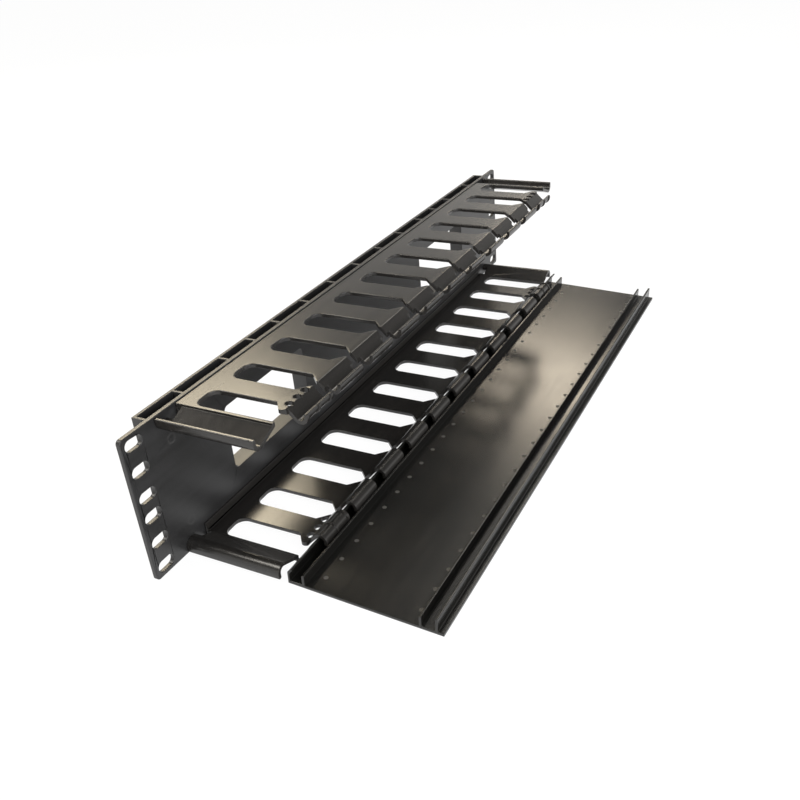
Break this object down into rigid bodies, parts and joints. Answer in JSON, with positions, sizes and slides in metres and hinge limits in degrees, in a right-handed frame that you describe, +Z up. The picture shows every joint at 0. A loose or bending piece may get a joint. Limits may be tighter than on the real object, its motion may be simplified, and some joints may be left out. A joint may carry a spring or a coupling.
{
  "type": "horizontal cable manager",
  "caption": "Two-unit rack panel with finger combs above and below forming a cable duct, pass-through windows, and a full-width cover hinged on the finger tips.",
  "frame": {"origin": "centre of the panel on the plane where the ears meet the rack rails", "axes": "+X along the width to the right seen from the front, -Y to the front, +Z up"},
  "size_m": [0.4826, 0.1651, 0.0962],
  "materials": {
    "panel_plastic": "satin black, moulded",
    "comb_plastic": "satin black, moulded",
    "cover_plastic": "satin black, extruded"
  },
  "bodies": {
    "frame": {"rack_panel": "panel_plastic", "upper_comb": "comb_plastic", "lower_comb": "comb_plastic"},
    "cover": {"cover": "cover_plastic"}
  },
  "joints": [
    {"name": "cover_hinge", "type": "hinge", "parent": "frame", "child": "cover", "pos_m": [0, -0.07, -0.04], "axis": [-1, 0, 0], "range_deg": [0, 92.7]}
  ]
}
